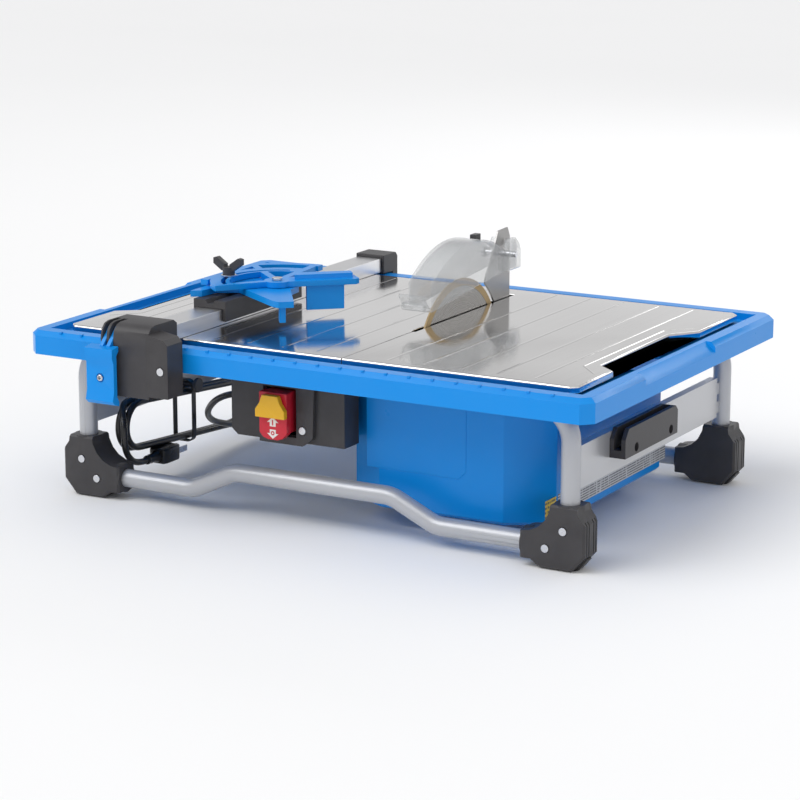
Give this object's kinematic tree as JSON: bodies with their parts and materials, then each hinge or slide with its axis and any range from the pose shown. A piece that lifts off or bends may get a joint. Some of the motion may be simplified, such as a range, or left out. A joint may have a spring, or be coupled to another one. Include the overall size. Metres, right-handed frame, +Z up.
{
  "type": "wet tile saw",
  "caption": "Tabletop wet tile saw: steel top on a plastic tray and tube frame, with under-table motor and blade, clear guard, water tub, rip fence and mitre gauge.",
  "frame": {"origin": "on the floor, under the middle of the overall box", "axes": "+X to the operator's right, +Y towards the back, +Z up"},
  "size_m": [0.64, 0.51, 0.2595],
  "materials": {
    "blue_plastic": "moulded, fine satin",
    "black_plastic": "moulded, fine texture",
    "clear_plastic": "clear polycarbonate",
    "red_plastic": "moulded",
    "yellow_plastic": "moulded",
    "stainless": "polished sheet",
    "painted_tube": "silver-grey powder coat",
    "painted_plate": "silver-grey powder coat",
    "aluminium": "brushed extrusion",
    "zinc_steel": "zinc plated",
    "bearing_steel": "ground",
    "motor_steel": "black paint",
    "motor_alloy": "die cast",
    "blade_steel": "sintered diamond rim",
    "rubber_black": "moulded",
    "cord_rubber": "jacketed cable"
  },
  "bodies": {
    "stand": {"table_tray": "blue_plastic", "table_top": "stainless", "water_tub": "blue_plastic", "front_upper_tube": "painted_tube", "rear_upper_tube": "painted_tube", "front_lower_tube": "painted_tube", "rear_lower_tube": "painted_tube", "left_side_plate": "painted_plate", "right_side_plate": "painted_plate", "front_left_foot_outer": "black_plastic", "front_left_foot_inner": "black_plastic", "rear_left_foot_outer": "black_plastic", "rear_left_foot_inner": "black_plastic", "front_right_foot_outer": "black_plastic", "front_right_foot_inner": "black_plastic", "rear_right_foot_outer": "black_plastic", "rear_right_foot_inner": "black_plastic", "foot_pads": "rubber_black", "wrench_holder": "black_plastic", "cord_hook": "black_plastic", "switch_housing": "black_plastic", "switch_faceplate": "black_plastic", "motor_can": "motor_steel", "motor_rear_bell": "motor_alloy", "motor_drive_bell": "motor_alloy", "motor_bearings": "bearing_steel", "motor_mount": "zinc_steel", "riving_knife": "stainless", "knife_bracket": "zinc_steel", "guard_pin": "zinc_steel", "cord_strain_relief": "cord_rubber", "cord_lead": "cord_rubber", "cord_tail": "cord_rubber", "cord_hank": "cord_rubber", "cord_plug": "cord_rubber", "cord_tie": "cord_rubber", "case_screws": "zinc_steel"},
    "arbor": {"motor_armature": "bearing_steel", "inner_flange": "zinc_steel", "blade": "blade_steel", "outer_flange": "zinc_steel", "arbor_nut": "zinc_steel"},
    "guard": {"guard_shell": "clear_plastic", "guard_clip": "black_plastic"},
    "guard_lock": {"guard_knob": "clear_plastic"},
    "paddle": {"switch_paddle": "red_plastic"},
    "safety_key": {"switch_key": "yellow_plastic"},
    "drain": {"drain_plug": "rubber_black"},
    "fence": {"fence_rail": "aluminium", "clamp_body": "black_plastic", "clamp_screw": "zinc_steel", "lever_pin": "zinc_steel", "rear_end_cap": "black_plastic"},
    "fence_lever": {"clamp_lever": "blue_plastic"},
    "mitre_slide": {"mitre_slider": "black_plastic", "mitre_base": "blue_plastic", "mitre_pivot_screw": "zinc_steel"},
    "mitre_arm": {"mitre_fence": "blue_plastic"},
    "mitre_lock": {"mitre_knob": "black_plastic", "knob_washer": "zinc_steel"}
  },
  "joints": [
    {"name": "blade_spin", "type": "hinge", "parent": "stand", "child": "arbor", "pos_m": [0.036, 0.06, 0.13], "axis": [1, 0, 0], "continuous": true},
    {"name": "guard_lift", "type": "hinge", "parent": "stand", "child": "guard", "pos_m": [0.036, 0.148, 0.2325], "axis": [-1, 0, 0], "range_deg": [0, 60]},
    {"name": "guard_knob_turn", "type": "hinge", "parent": "stand", "child": "guard_lock", "pos_m": [0.053, 0.148, 0.2325], "axis": [1, 0, 0], "continuous": true},
    {"name": "paddle_flip", "type": "hinge", "parent": "stand", "child": "paddle", "pos_m": [-0.042, -0.169, 0.136], "axis": [-1, 0, 0], "range_deg": [0, 15]},
    {"name": "key_pull", "type": "slide", "parent": "paddle", "child": "safety_key", "axis": [0, -1, 0], "range_m": [0, 0.03]},
    {"name": "drain_pull", "type": "slide", "parent": "stand", "child": "drain", "axis": [0, 1, 0], "range_m": [0, 0.018]},
    {"name": "fence_slide", "type": "slide", "parent": "stand", "child": "fence", "axis": [1, 0, 0], "range_m": [-0.09, 0.04]},
    {"name": "lever_release", "type": "hinge", "parent": "fence", "child": "fence_lever", "pos_m": [-0.2, -0.229, 0.19], "axis": [-1, 0, 0], "range_deg": [0, 60]},
    {"name": "mitre_travel", "type": "slide", "parent": "fence", "child": "mitre_slide", "axis": [0, 1, 0], "range_m": [-0.08, 0.17]},
    {"name": "mitre_swing", "type": "hinge", "parent": "mitre_slide", "child": "mitre_arm", "pos_m": [-0.125, -0.039, 0.216], "axis": [0, 0, 1], "range_deg": [-42, 48]},
    {"name": "mitre_knob_turn", "type": "hinge", "parent": "mitre_slide", "child": "mitre_lock", "pos_m": [-0.181, -0.045, 0.225], "axis": [0, 0, 1], "continuous": true}
  ]
}
